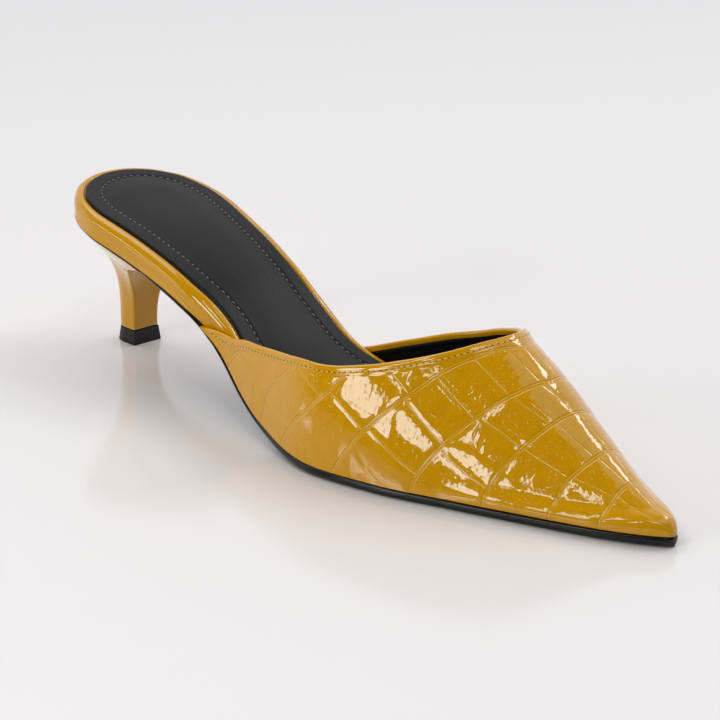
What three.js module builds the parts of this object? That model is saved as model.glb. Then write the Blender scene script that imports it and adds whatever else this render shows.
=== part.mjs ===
// Pointed mule on a kitten heel, the right shoe of a pair.
// Millimetres, +Z up, toe towards +X, medial (big toe) side towards +Y.
// Every piece is drawn from the back of the seat (x = 0) and the floor (z = 0);
// the finished shoe is then centred over the middle of its footprint.

import * as THREE from 'three';
import { mergeVertices } from 'three/addons/utils/BufferGeometryUtils.js';

// Last: lengths, widths and heights of the form that the shoe is made on
const SHOE_LENGTH = 262; // back of the seat to the tip of the toe
const SEAT_WIDTH = 53.8; // across the heel seat
const WAIST_WIDTH = 45.9; // across the narrowest part of the shank
const BALL_WIDTH = 74; // across the joints
const SEAT_RISE = 47.7; // feather line at the back, above the feather line of the forepart
const TOE_SPRING = 0.4; // lift of the tip of the sole from the floor
const INSTEP_HEIGHT = 44; // ridge of the vamp at the throat, above the feather line

// Outsole
const SOLE_FOREPART = 2.8;
const SOLE_SHANK = 1.4;
const SOLE_SEAT = 0.9; // skived thin under the heel seat
const SOLE_PROUD = 0.4; // edge of the sole beyond the upper
const SOLE_BEVEL = 0.5;

// Covered insole board, whose edge is the rim round the seat
const BOARD_EDGE = 7.6;
const BOARD_FOREPART = 2.2;
const BOARD_ROLL = 1.6; // radius of the rolled top edge
const BOARD_END = 246; // front end, inside the toe
const BOARD_NOSE = 16; // length of its rounded front end
const RIM_WIDTH = 3.5; // from the edge of the board to the sock
const SOCK_WELL = 0.7; // depth that the sock is sunk in the board

// Sock
const SOCK_EDGE = 1.1; // thickness at its edge
const SOCK_CROWN = 1.1; // extra thickness of the pad along the middle
const SOCK_END = 228;
const SOCK_NOSE = 20;

// Upper
const UPPER_WALL = 1.6;
const TOPLINE_BAND = 3.2; // width of the folded band along the topline
const BAND_STEP = 0.3; // how far the band stands above the vamp
const BAND_MOST = 0.3; // share of a wing's height that the band may take at its tip
const WING_BLEND = 20; // length over which the board gives way to a wing of the upper

// Heel and heel tip
const HEEL_SEAT = 53; // back of the seat to the front of the heel's wings
const HEEL_ARCH = 36; // back of the seat to the middle of the breast, at the top
const TIP_SETBACK = 8.7; // back of the seat to the back of the heel tip
const TIP_LENGTH = 12.8;
const TIP_WIDTH = 11.7;
const TIP_HEIGHT = 5.2;
const TIP_FLARE = 0.5; // how far the tip widens towards the floor, at the front and sides
const TIP_BACK_FLARE = 1.1; // and at the back

// Clearances between pieces
const FIT_GAP = 0.3;
const BOARD_CLEARANCE = 0.5; // edge of the board to the inside of the upper

// Outline of the feather line: half widths as shares of the width in the column of
const OUTLINE = [
  { along: 0, of: SEAT_WIDTH, lateral: 0, medial: 0 },
  { along: 0.0076, of: SEAT_WIDTH, lateral: 0.186, medial: 0.186 },
  { along: 0.0305, of: SEAT_WIDTH, lateral: 0.349, medial: 0.349 },
  { along: 0.0687, of: SEAT_WIDTH, lateral: 0.465, medial: 0.465 },
  { along: 0.1145, of: SEAT_WIDTH, lateral: 0.5, medial: 0.5 },
  { along: 0.229, of: SEAT_WIDTH, lateral: 0.498, medial: 0.418 },
  { along: 0.3435, of: WAIST_WIDTH, lateral: 0.586, medial: 0.4 },
  { along: 0.458, of: BALL_WIDTH, lateral: 0.453, medial: 0.308 },
  { along: 0.5725, of: BALL_WIDTH, lateral: 0.5365, medial: 0.439 },
  { along: 0.668, of: BALL_WIDTH, lateral: 0.4865, medial: 0.5 },
  { along: 0.7634, of: BALL_WIDTH, lateral: 0.374, medial: 0.4324 },
  { along: 0.8588, of: BALL_WIDTH, lateral: 0.254, medial: 0.3054 },
  { along: 0.9466, of: BALL_WIDTH, lateral: 0.1324, medial: 0.1432 },
  { along: 0.9847, of: BALL_WIDTH, lateral: 0.0568, medial: 0.0608 },
  { along: 1, of: BALL_WIDTH, lateral: 0, medial: 0 },
];

// Height of the feather line: shares of the seat rise and of the toe spring
const FEATHER = [
  { along: 0, rise: 1, spring: 0 },
  { along: 0.0954, rise: 0.891, spring: 0 },
  { along: 0.1908, rise: 0.782, spring: 0 },
  { along: 0.3053, rise: 0.581, spring: 0 },
  { along: 0.4198, rise: 0.178, spring: 0 },
  { along: 0.4771, rise: 0.065, spring: 0 },
  { along: 0.5344, rise: 0.017, spring: 0 },
  { along: 0.5916, rise: 0, spring: 0 },
  { along: 0.7824, rise: 0, spring: 0 },
  { along: 0.8969, rise: 0, spring: 0.25 },
  { along: 1, rise: 0, spring: 1 },
];

// Thickness of the outsole along the shoe
const SOLE_TAPER = [
  { along: 0, thickness: SOLE_SEAT },
  { along: 0.14, thickness: SOLE_SEAT },
  { along: 0.26, thickness: SOLE_SHANK },
  { along: 0.42, thickness: SOLE_SHANK },
  { along: 0.57, thickness: SOLE_FOREPART },
  { along: 1, thickness: SOLE_FOREPART },
];

// Thickness of the board along the shoe
const BOARD_TAPER = [
  { along: 0, thickness: BOARD_EDGE },
  { along: 0.48, thickness: BOARD_EDGE },
  { along: 0.63, thickness: BOARD_FOREPART },
  { along: 1, thickness: BOARD_FOREPART },
];

// Cross-sections of the last: height as a share of the instep height; round and lean are
// the powers of the cosine and the sine that shape the ridge and the side
const SECTIONS = [
  { along: 0.3053, height: 1.136, round: 1, lean: 1 },
  { along: 0.4198, height: 1.273, round: 1, lean: 1 },
  { along: 0.5344, height: 1.364, round: 1, lean: 1.01 },
  { along: 0.6107, height: 1.307, round: 1.03, lean: 1.08 },
  { along: 0.6794, height: 1.182, round: 1.09, lean: 1.3 },
  { along: 0.7366, height: 1, round: 1.14, lean: 1.5 },
  { along: 0.7939, height: 0.8, round: 1.16, lean: 1.58 },
  { along: 0.8473, height: 0.575, round: 1.17, lean: 1.63 },
  { along: 0.9008, height: 0.364, round: 1.17, lean: 1.64 },
  { along: 0.9466, height: 0.209, round: 1.12, lean: 1.5 },
  { along: 0.9771, height: 0.1205, round: 1.06, lean: 1.35 },
  { along: 0.9924, height: 0.0636, round: 1.02, lean: 1.25 },
  { along: 1, height: 0, round: 1, lean: 1.2 },
];

// Topline from each wing's tip to the throat: turn is the share of the quarter turn from
// the feather line up to the ridge, foot is where the vamp's line from there meets the sole
const LATERAL_TOPLINE = [
  { along: 0.3256, turn: 0, foot: 0.3256 },
  { along: 0.3569, turn: 0.069, foot: 0.3664 },
  { along: 0.3855, turn: 0.133, foot: 0.4084 },
  { along: 0.416, turn: 0.207, foot: 0.4504 },
  { along: 0.4447, turn: 0.249, foot: 0.4885 },
  { along: 0.474, turn: 0.283, foot: 0.5267 },
  { along: 0.5302, turn: 0.327, foot: 0.5935 },
  { along: 0.5756, turn: 0.359, foot: 0.645 },
  { along: 0.6099, turn: 0.399, foot: 0.6908 },
  { along: 0.6389, turn: 0.451, foot: 0.7366 },
  { along: 0.6645, turn: 0.516, foot: 0.7824 },
  { along: 0.6882, turn: 0.587, foot: 0.8282 },
  { along: 0.7088, turn: 0.672, foot: 0.8779 },
  { along: 0.7265, turn: 0.78, foot: 0.9275 },
  { along: 0.7384, turn: 0.889, foot: 0.9714 },
  { along: 0.7414, turn: 0.945, foot: 0.989 },
  { along: 0.7424, turn: 1, foot: 1 },
];
const MEDIAL_TOPLINE = [
  { along: 0.4008, turn: 0, foot: 0.4008 },
  { along: 0.416, turn: 0.044, foot: 0.421 },
  { along: 0.4344, turn: 0.086, foot: 0.4504 },
  { along: 0.4546, turn: 0.13, foot: 0.48 },
  { along: 0.4756, turn: 0.169, foot: 0.5076 },
  { along: 0.5122, turn: 0.223, foot: 0.5515 },
  { along: 0.5676, turn: 0.3, foot: 0.6183 },
  { along: 0.6099, turn: 0.369, foot: 0.6756 },
  { along: 0.6374, turn: 0.428, foot: 0.7195 },
  { along: 0.6622, turn: 0.494, foot: 0.7672 },
  { along: 0.687, turn: 0.567, foot: 0.8168 },
  { along: 0.708, turn: 0.667, foot: 0.874 },
  { along: 0.7263, turn: 0.778, foot: 0.9275 },
  { along: 0.7384, turn: 0.889, foot: 0.9714 },
  { along: 0.7414, turn: 0.945, foot: 0.989 },
  { along: 0.7424, turn: 1, foot: 1 },
];

// Flare of the heel from its tip (up = 0) to the seat (up = 1), each column a share of the
// way from the tip's size to the seat's: width, front of the wings, back, middle of the breast
const HEEL_FLARE = [
  { up: 0, spread: 0, sweep: 0, back: 0, breast: 0 },
  { up: 0.15, spread: 0, sweep: 0.01, back: 0, breast: 0.02 },
  { up: 0.3, spread: 0.02, sweep: 0.03, back: 0, breast: 0.05 },
  { up: 0.45, spread: 0.08, sweep: 0.07, back: 0.06, breast: 0.13 },
  { up: 0.6, spread: 0.21, sweep: 0.15, back: 0.22, breast: 0.27 },
  { up: 0.75, spread: 0.42, sweep: 0.3, back: 0.48, breast: 0.48 },
  { up: 0.88, spread: 0.7, sweep: 0.56, back: 0.77, breast: 0.74 },
  { up: 1, spread: 1, sweep: 1, back: 1, breast: 1 },
];

// How finely each piece is cut into facets
const PLATE_STATIONS = 52;
const UPPER_COLUMNS = 24; // a side
const UPPER_ROWS = 14;
const HEEL_LEVELS = 12;
const HEEL_SIDE_POINTS = 12;
const HEEL_BREAST_POINTS = 4;

const lerp = THREE.MathUtils.lerp;
const clamp = THREE.MathUtils.clamp;
const smoothstep = THREE.MathUtils.smoothstep;

// A smooth curve through rows of a table that never overshoots them (monotone cubic)
function curveThrough(places, values) {
  const steps = places.slice(1).map((place, i) => place - places[i]);
  const rates = steps.map((step, i) => (values[i + 1] - values[i]) / step);
  const endSlope = (near, next, rate, nextRate) => {
    const slope = ((2 * near + next) * rate - near * nextRate) / (near + next);
    if (slope * rate <= 0) return 0;
    return rate * nextRate < 0 && Math.abs(slope) > Math.abs(3 * rate) ? 3 * rate : slope;
  };
  const last = rates.length - 1;
  const slopes = places.map((_, i) => {
    if (i === 0) return endSlope(steps[0], steps[1], rates[0], rates[1]);
    if (i > last) return endSlope(steps[last], steps[last - 1], rates[last], rates[last - 1]);
    if (rates[i - 1] * rates[i] <= 0) return 0;
    const before = 2 * steps[i] + steps[i - 1];
    const after = steps[i] + 2 * steps[i - 1];
    return (before + after) / (before / rates[i - 1] + after / rates[i]);
  });
  return (place) => {
    let i = 0;
    while (i < last && place > places[i + 1]) i += 1;
    const t = clamp((place - places[i]) / steps[i], 0, 1);
    const s = 1 - t;
    return (
      values[i] * s * s * (1 + 2 * t) +
      values[i + 1] * t * t * (3 - 2 * t) +
      steps[i] * t * s * (s * slopes[i] - t * slopes[i + 1])
    );
  };
}

// The turn of a half circle over the shoe's length, which lets a curve end round at both ends
const roundPlace = (along) => Math.acos(clamp(1 - 2 * along, -1, 1));

function roundCurve(rows, value) {
  const curve = curveThrough(rows.map((row) => roundPlace(row.along)), rows.map(value));
  return (x) => curve(roundPlace(x / SHOE_LENGTH));
}

function plainCurve(rows, value) {
  const curve = curveThrough(rows.map((row) => row.along), rows.map(value));
  return (x) => curve(x / SHOE_LENGTH);
}

const outline = {
  lateral: roundCurve(OUTLINE, (row) => row.of * row.lateral),
  medial: roundCurve(OUTLINE, (row) => row.of * row.medial),
};
const FOREPART_LEVEL = SOLE_FOREPART + FIT_GAP;
const featherHeight = plainCurve(
  FEATHER,
  (row) => FOREPART_LEVEL + SEAT_RISE * row.rise + TOE_SPRING * row.spring,
);
const sectionHeight = roundCurve(SECTIONS, (row) => INSTEP_HEIGHT * row.height);
const sectionRound = plainCurve(SECTIONS, (row) => row.round);
const sectionLean = plainCurve(SECTIONS, (row) => row.lean);

// Distance along y that moves an outline inwards by a distance square to it
function squareInset(half, x, distance) {
  const step = 0.5;
  const from = Math.max(x - step, 0);
  const to = Math.min(x + step, SHOE_LENGTH);
  const slope = (half(to) - half(from)) / (to - from);
  return distance * Math.hypot(1, slope);
}

// The board is as wide as the shoe at the seat and steps inside the upper at each wing
const WING_TIPS = {
  lateral: LATERAL_TOPLINE[0].along * SHOE_LENGTH,
  medial: MEDIAL_TOPLINE[0].along * SHOE_LENGTH,
};
const WALL_AND_CLEARANCE = UPPER_WALL + BOARD_CLEARANCE;

function boardHalf(side, x) {
  const start = WING_TIPS[side] - WING_BLEND / 2;
  const share = smoothstep(x, start, start + WING_BLEND);
  return outline[side](x) - squareInset(outline[side], x, WALL_AND_CLEARANCE * share);
}

const upperHalf = (side, x) =>
  boardHalf(side, x) + squareInset(outline[side], x, WALL_AND_CLEARANCE);

// A closed solid from rings of points with equal counts; ends that don't shrink to a line
// or point are closed by flat triangles found in the plane of the two axes named
function loft(rings, capAxes) {
  const count = rings[0].length;
  const points = rings.flat();
  const faces = [];
  for (let r = 0; r + 1 < rings.length; r += 1) {
    for (let c = 0; c < count; c += 1) {
      const d = (c + 1) % count;
      const low = r * count;
      const high = low + count;
      faces.push([low + c, low + d, high + d], [low + c, high + d, high + c]);
    }
  }
  const cap = (ring, base, flip) => {
    const flat = ring.map((point) => new THREE.Vector2(point[capAxes[0]], point[capAxes[1]]));
    const turnsLeft = !THREE.ShapeUtils.isClockWise(flat);
    for (const [a, b, c] of THREE.ShapeUtils.triangulateShape(flat, [])) {
      faces.push(turnsLeft === flip ? [base + a, base + b, base + c] : [base + a, base + c, base + b]);
    }
  };
  cap(rings[0], 0, false);
  cap(rings.at(-1), points.length - count, true);
  return solid(points, faces);
}

// Points and triangles as a geometry, with points that coincide merged, flat triangles
// dropped and all faces turned outwards
function solid(points, faces) {
  const shape = new THREE.BufferGeometry();
  shape.setAttribute('position', new THREE.Float32BufferAttribute(points.flatMap((p) => p.toArray()), 3));
  shape.setIndex(faces.flat());
  const merged = mergeVertices(shape, 1e-3);
  const index = merged.getIndex().array;
  const kept = [];
  for (let i = 0; i < index.length; i += 3) {
    const [a, b, c] = [index[i], index[i + 1], index[i + 2]];
    if (a !== b && b !== c && c !== a) kept.push([a, b, c]);
  }
  const corner = (i) => new THREE.Vector3().fromBufferAttribute(merged.getAttribute('position'), i);
  const volume = kept.reduce((sum, [a, b, c]) => sum + corner(a).dot(corner(b).cross(corner(c))), 0);
  merged.setIndex(kept.flatMap(([a, b, c]) => (volume < 0 ? [a, c, b] : [a, b, c])));
  merged.computeVertexNormals();
  return merged;
}

// Places along a plate from its back to its front, closer together at the round ends; the
// plates share them, so that facets which lie on each other run alike
function stations(end) {
  const all = Array.from({ length: PLATE_STATIONS + 1 }, (_, i) =>
    (SHOE_LENGTH / 2) * (1 - Math.cos((Math.PI * i) / PLATE_STATIONS)));
  return [...all.filter((x) => x < end), end];
}

// Share of its width that a plate keeps over its rounded front end
function nose(x, end, length) {
  const past = clamp((x - end + length) / length, 0, 1);
  return Math.sqrt(1 - past * past);
}

const soleThickness = plainCurve(SOLE_TAPER, (row) => row.thickness);
const soleTop = (x) => featherHeight(x) - FIT_GAP;
const soleBottom = (x) => soleTop(x) - soleThickness(x);

function makeOutsole() {
  const rings = stations(SHOE_LENGTH).map((x) => {
    const proud = SOLE_PROUD * Math.sin(roundPlace(x / SHOE_LENGTH)) ** 0.2;
    const left = -outline.lateral(x) - proud;
    const right = outline.medial(x) + proud;
    const top = soleTop(x);
    const bottom = soleBottom(x);
    const bevel = Math.min(SOLE_BEVEL, soleThickness(x) / 2, (right - left) / 3);
    return [
      new THREE.Vector3(x, left, bottom + bevel),
      new THREE.Vector3(x, left, top),
      new THREE.Vector3(x, right, top),
      new THREE.Vector3(x, right, bottom + bevel),
      new THREE.Vector3(x, right - bevel, bottom),
      new THREE.Vector3(x, left + bevel, bottom),
    ];
  });
  return loft(rings, ['y', 'z']);
}

const boardThickness = plainCurve(BOARD_TAPER, (row) => row.thickness);
const boardTop = (x) => featherHeight(x) + boardThickness(x);

// Half width of the board, less a distance from its edge, and never less than nothing
function insideBoard(side, x, inset, end, noseLength) {
  const half = boardHalf(side, x) - squareInset(outline[side], x, inset);
  return Math.max(half, 0) * nose(x, end, noseLength);
}

function makeBoard() {
  const rings = stations(BOARD_END).map((x) => {
    const left = -insideBoard('lateral', x, 0, BOARD_END, BOARD_NOSE);
    const right = insideBoard('medial', x, 0, BOARD_END, BOARD_NOSE);
    const wellLeft = -insideBoard('lateral', x, RIM_WIDTH, BOARD_END - RIM_WIDTH, BOARD_NOSE);
    const wellRight = insideBoard('medial', x, RIM_WIDTH, BOARD_END - RIM_WIDTH, BOARD_NOSE);
    const bottom = featherHeight(x);
    const top = boardTop(x);
    const well = top - Math.min(SOCK_WELL, (wellRight - wellLeft) / 2);
    const roll = Math.min(BOARD_ROLL, (right - left) / 3, boardThickness(x) / 2);
    const cut = roll * (1 - Math.SQRT1_2);
    return [
      new THREE.Vector3(x, left, bottom),
      new THREE.Vector3(x, left, top - roll),
      new THREE.Vector3(x, left + cut, top - cut),
      new THREE.Vector3(x, Math.min(left + roll, wellLeft), top),
      new THREE.Vector3(x, wellLeft, top),
      new THREE.Vector3(x, wellLeft, well),
      new THREE.Vector3(x, wellRight, well),
      new THREE.Vector3(x, wellRight, top),
      new THREE.Vector3(x, Math.max(right - roll, wellRight), top),
      new THREE.Vector3(x, right - cut, top - cut),
      new THREE.Vector3(x, right, top - roll),
      new THREE.Vector3(x, right, bottom),
    ];
  });
  return loft(rings, ['y', 'z']);
}

function makeSock() {
  const inset = RIM_WIDTH + FIT_GAP;
  const crownPlaces = [0, 0.08, 0.28, 0.5, 0.72, 0.92, 1];
  const halfAt = (side, x) => insideBoard(side, x, inset, SOCK_END, SOCK_NOSE);
  const wide = (x) => halfAt('lateral', x) + halfAt('medial', x) > 2 * SOCK_WELL || x === SOCK_END;
  const rings = stations(SOCK_END).filter(wide).map((x) => {
    const left = -halfAt('lateral', x);
    const right = halfAt('medial', x);
    const bottom = boardTop(x) - SOCK_WELL + FIT_GAP;
    const fullness = Math.min(1, (right - left) / SEAT_WIDTH * 2);
    const top = crownPlaces.map((share) => {
      const crown = SOCK_CROWN * fullness * (1 - (2 * share - 1) ** 4);
      return new THREE.Vector3(x, lerp(left, right, share), bottom + SOCK_EDGE * fullness + crown);
    });
    return [new THREE.Vector3(x, left, bottom), ...top, new THREE.Vector3(x, right, bottom)];
  });
  return loft(rings, ['y', 'z']);
}

// A point of the last's surface: x along the shoe, turn 0 at the lateral feather line,
// 1 on the ridge, 2 at the medial feather line
function lastPoint(x, turn) {
  const lateral = upperHalf('lateral', x);
  const medial = upperHalf('medial', x);
  const angle = (turn * Math.PI) / 2;
  const across = Math.sign(Math.cos(angle)) * Math.abs(Math.cos(angle)) ** sectionRound(x);
  const up = Math.abs(Math.sin(angle)) ** sectionLean(x);
  return new THREE.Vector3(
    x,
    (medial - lateral) / 2 - ((medial + lateral) / 2) * across,
    featherHeight(x) + sectionHeight(x) * up,
  );
}

// A column of the vamp, from the topline (down = 0) to the feather line (down = 1)
function vampColumns(rows) {
  const places = rows.map((_, i) => i / (rows.length - 1));
  const along = curveThrough(places, rows.map((row) => row.along));
  const turn = curveThrough(places, rows.map((row) => row.turn));
  const foot = curveThrough(places, rows.map((row) => roundPlace(row.foot)));
  return (place) => {
    const top = along(place) * SHOE_LENGTH;
    const bottom = (SHOE_LENGTH / 2) * (1 - Math.cos(foot(place)));
    const start = turn(place);
    return (down) => {
      const share = start === 1 ? 1 : (start * (1 - down)) / (1 - start * down);
      return { x: lerp(top, bottom, down), turn: share };
    };
  };
}

// The vamp is one wall: the outside on the last's surface, the inside a wall further in,
// joined by a rim along the topline and one along the feather line
function makeUpper() {
  const lateral = vampColumns(LATERAL_TOPLINE);
  const medial = vampColumns(MEDIAL_TOPLINE);
  const columns = [];
  for (let i = 0; i <= UPPER_COLUMNS; i += 1) columns.push({ at: lateral(i / UPPER_COLUMNS), flip: false });
  for (let i = UPPER_COLUMNS - 1; i >= 0; i -= 1) columns.push({ at: medial(i / UPPER_COLUMNS), flip: true });

  const surface = columns.map(({ at, flip }) => {
    const pointAt = (down) => {
      const { x, turn } = at(down);
      return lastPoint(x, flip ? 2 - turn : turn);
    };
    const length = pointAt(0).distanceTo(pointAt(0.5)) * 2;
    const band = Math.min(TOPLINE_BAND / Math.max(length, TOPLINE_BAND), BAND_MOST);
    const step = band + BAND_STEP / Math.max(length, TOPLINE_BAND);
    const downs = [0, band, step];
    for (let r = 1; r <= UPPER_ROWS; r += 1) downs.push(step + (1 - step) * (r / UPPER_ROWS));
    return downs.map(pointAt);
  });

  const lastColumn = surface.length - 1;
  const lastRow = surface[0].length - 1;
  const normalAt = (c, r) => {
    const column = clamp(c, 1, lastColumn - 1);
    const row = c === column ? r : lastRow;
    const along = surface[column + 1][row].clone().sub(surface[column - 1][row]);
    const down = surface[column][Math.min(row + 1, lastRow)].clone()
      .sub(surface[column][Math.max(row - 1, 0)]);
    const normal = down.cross(along);
    if (row === lastRow) normal.z = 0;
    return normal.normalize();
  };
  const outside = surface.map((column, c) => column.map((point, r) => {
    const raised = c > 0 && c < lastColumn && r < 2 ? BAND_STEP : 0;
    return point.clone().addScaledVector(normalAt(c, r), raised);
  }));
  const inside = surface.map((column, c) => column.map((point, r) =>
    point.clone().addScaledVector(normalAt(c, r), -UPPER_WALL)));

  const rings = outside.map((column, c) => [...column, ...inside[c].slice().reverse()]);
  return loft(rings, ['y', 'z']);
}

// Half of the seat's outline, from the back (0) to the front of the heel (1), as shares
function seatShape(side, share) {
  const front = HEEL_SEAT - FIT_GAP;
  return outline[side](share * front) / outline[side](front);
}

const seatUnderside = (x) => soleBottom(x) - FIT_GAP;
const HEEL_BOTTOM = TIP_HEIGHT + FIT_GAP;

// One level of the heel: back round the sides to the wings, then across the breast
function heelRing(up, flare) {
  const back = lerp(TIP_SETBACK + TIP_BACK_FLARE, FIT_GAP, flare.back(up));
  const wing = lerp(TIP_SETBACK + TIP_LENGTH - TIP_FLARE, HEEL_SEAT, flare.sweep(up));
  const breast = lerp(TIP_SETBACK + TIP_LENGTH - TIP_FLARE, HEEL_ARCH, flare.breast(up));
  const stemHalf = TIP_WIDTH / 2 - TIP_FLARE;
  const sidePoint = (side, share) => {
    const half = lerp(stemHalf, outline[side](HEEL_SEAT) - FIT_GAP, flare.spread(up));
    const x = lerp(back, wing, share);
    const topX = lerp(FIT_GAP, HEEL_SEAT, share);
    const z = lerp(HEEL_BOTTOM, seatUnderside(topX), up);
    return new THREE.Vector3(x, (side === 'lateral' ? -1 : 1) * half * seatShape(side, share), z);
  };
  const breastPoint = (side, share) => {
    const corner = sidePoint(side, 1);
    const x = lerp(breast, corner.x, share ** 2);
    const topX = lerp(HEEL_ARCH, HEEL_SEAT, share ** 2);
    const z = lerp(HEEL_BOTTOM, seatUnderside(topX), up);
    return new THREE.Vector3(x, corner.y * share, z);
  };
  const shares = Array.from({ length: HEEL_SIDE_POINTS + 1 }, (_, i) =>
    1 - Math.cos((Math.PI / 2) * (i / HEEL_SIDE_POINTS)));
  const across = Array.from({ length: HEEL_BREAST_POINTS }, (_, i) => i / HEEL_BREAST_POINTS);
  return [
    ...shares.map((share) => sidePoint('lateral', share)),
    ...across.slice(1).reverse().map((share) => breastPoint('lateral', share)),
    ...across.map((share) => breastPoint('medial', share)),
    ...shares.slice(1).reverse().map((share) => sidePoint('medial', share)),
  ];
}

function makeHeel() {
  const ups = HEEL_FLARE.map((row) => row.up);
  const flare = {
    spread: curveThrough(ups, HEEL_FLARE.map((row) => row.spread)),
    sweep: curveThrough(ups, HEEL_FLARE.map((row) => row.sweep)),
    back: curveThrough(ups, HEEL_FLARE.map((row) => row.back)),
    breast: curveThrough(ups, HEEL_FLARE.map((row) => row.breast)),
  };
  const rings = Array.from({ length: HEEL_LEVELS + 1 }, (_, i) => heelRing(i / HEEL_LEVELS, flare));
  return loft(rings, ['x', 'y']);
}

function makeHeelTip() {
  const shares = Array.from({ length: HEEL_SIDE_POINTS + 1 }, (_, i) =>
    1 - Math.cos((Math.PI / 2) * (i / HEEL_SIDE_POINTS)));
  const ring = (z, backShrink, shrink) => {
    const point = (sign, share) => new THREE.Vector3(
      lerp(TIP_SETBACK + backShrink, TIP_SETBACK + TIP_LENGTH - shrink, share),
      sign * (TIP_WIDTH / 2 - shrink) * seatShape('lateral', share),
      z,
    );
    const sides = shares.map((share) => point(-1, share));
    return [...sides, ...shares.slice(1).reverse().map((share) => point(1, share))];
  };
  return loft([ring(0, 0, 0), ring(TIP_HEIGHT, TIP_BACK_FLARE, TIP_FLARE)], ['x', 'y']);
}

const MATERIALS = {
  yellowPatent: { color: 0xc8951a, roughness: 0.12, metalness: 0 },
  blackLeather: { color: 0x2d2d30, roughness: 0.6, metalness: 0 },
  blackSole: { color: 0x16161a, roughness: 0.35, metalness: 0 },
  blackRubber: { color: 0x141416, roughness: 0.55, metalness: 0 },
};

function piece(name, geometry, material) {
  const mesh = new THREE.Mesh(geometry, new THREE.MeshStandardMaterial(MATERIALS[material]));
  mesh.name = name;
  return mesh;
}

const shoe = new THREE.Group();
shoe.add(piece('outsole', makeOutsole(), 'blackSole'));
shoe.add(piece('covered_board', makeBoard(), 'yellowPatent'));
shoe.add(piece('sock', makeSock(), 'blackLeather'));
shoe.add(piece('upper', makeUpper(), 'yellowPatent'));
shoe.add(piece('heel', makeHeel(), 'yellowPatent'));
shoe.add(piece('heel_tip', makeHeelTip(), 'blackRubber'));

const box = new THREE.Box3().setFromObject(shoe);
const middle = box.getCenter(new THREE.Vector3());
shoe.position.set(-middle.x, -middle.y, -box.min.z);

const mule = new THREE.Group();
mule.add(shoe);
export default mule;
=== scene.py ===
# %% [markdown]
# # A pointed mule on a kitten heel
# The shoe is made of six pieces that a shoemaker would name: outsole, covered board, sock, vamp, heel
# and heel tip. Their plain solids come packed as a fixed frame. This lesson dresses them: each piece is
# worked out again as a fine surface from the same table of sizes, and gets the finish of the real thing.

# %% Open the frame
import math

import bmesh
import bpy
import numpy as np
from mathutils import Matrix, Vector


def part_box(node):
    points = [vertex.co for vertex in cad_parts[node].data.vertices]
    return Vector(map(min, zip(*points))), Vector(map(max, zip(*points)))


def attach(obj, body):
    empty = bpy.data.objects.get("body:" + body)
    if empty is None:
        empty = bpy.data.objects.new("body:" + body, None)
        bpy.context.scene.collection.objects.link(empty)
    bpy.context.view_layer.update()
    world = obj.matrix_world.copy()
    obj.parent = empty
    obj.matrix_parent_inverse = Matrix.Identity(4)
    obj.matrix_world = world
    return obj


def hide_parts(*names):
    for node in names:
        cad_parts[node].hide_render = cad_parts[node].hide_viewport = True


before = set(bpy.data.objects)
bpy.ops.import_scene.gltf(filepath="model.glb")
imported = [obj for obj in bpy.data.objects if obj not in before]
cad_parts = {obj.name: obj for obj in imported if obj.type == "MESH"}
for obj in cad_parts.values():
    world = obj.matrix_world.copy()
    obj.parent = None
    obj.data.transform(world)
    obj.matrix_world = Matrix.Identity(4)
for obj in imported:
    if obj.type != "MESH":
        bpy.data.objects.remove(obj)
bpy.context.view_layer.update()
MM = 0.001

# %% [markdown]
# ## Where things are measured from
# A last, the wooden form that a shoe is built on, is measured in millimetres from the back of its seat
# and from the floor. The frame is centred over the shoe's footprint, so one shift turns the one into
# the other. x runs to the toe, y to the big toe's side and z up.

# %% The shift from the last to the frame
LENGTH = 262.0
low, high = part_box("outsole")
CENTRE = np.array([LENGTH / 2, -1.323, 0.0])
print("outsole", tuple(low), tuple(high), "centre", CENTRE)

# %% [markdown]
# ## Camera
# The view is from the front on the little toe's side, a little above, with a long lens: at 720 pixels
# across, one pixel is about 0.3 mm at the shoe. The camera looks at the middle of the shoe. Its three
# directions are worked out from its turn round the shoe and its height over the horizon, and go into
# its matrix as they are.

# %% Place the camera
AZIMUTH, ELEVATION, REACH = math.radians(47.45), math.radians(19.49), 788.2
FOCAL_PIXELS = 2500
SHOE_MIDDLE = np.array([131.0, 0.0, 22.0])
back = np.array([math.sin(AZIMUTH) * math.cos(ELEVATION), -math.cos(AZIMUTH) * math.cos(ELEVATION),
                 math.sin(ELEVATION)])
right = np.array([math.cos(AZIMUTH), math.sin(AZIMUTH), 0.0])
spot = (SHOE_MIDDLE + back * REACH - CENTRE) * MM


def pose(across, upwards, backwards, place):
    """Matrix of an object from its three directions and its place."""
    rows = np.array([across, upwards, backwards, place]).T
    return Matrix([*rows.tolist(), [0, 0, 0, 1]])


camera_data = bpy.data.cameras.new("camera")
camera_data.sensor_width = 36.0
camera_data.lens = FOCAL_PIXELS / 720 * 36.0
camera = bpy.data.objects.new("camera", camera_data)
camera.matrix_world = pose(right, np.cross(back, right), back, spot)
bpy.context.scene.collection.objects.link(camera)
bpy.context.scene.camera = camera
print("camera at", spot.round(4), "lens", round(camera_data.lens, 2))

# %% [markdown]
# ## Small tools
# A hex colour is what a screen shows, and Blender's sockets want linear light, so one function turns
# the one into the other. Another adds a node, sets its options and feeds its sockets.

# %% Colours and nodes
def linear(hex_colour):
    """sRGB hex to linear: each channel over 12.92 if it is small, else ((c + 0.055) / 1.055) ** 2.4."""
    c = np.array([int(hex_colour[i:i + 2], 16) for i in (1, 3, 5)]) / 255
    return (*np.where(c <= 0.04045, c / 12.92, ((c + 0.055) / 1.055) ** 2.4), 1.0)


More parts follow.
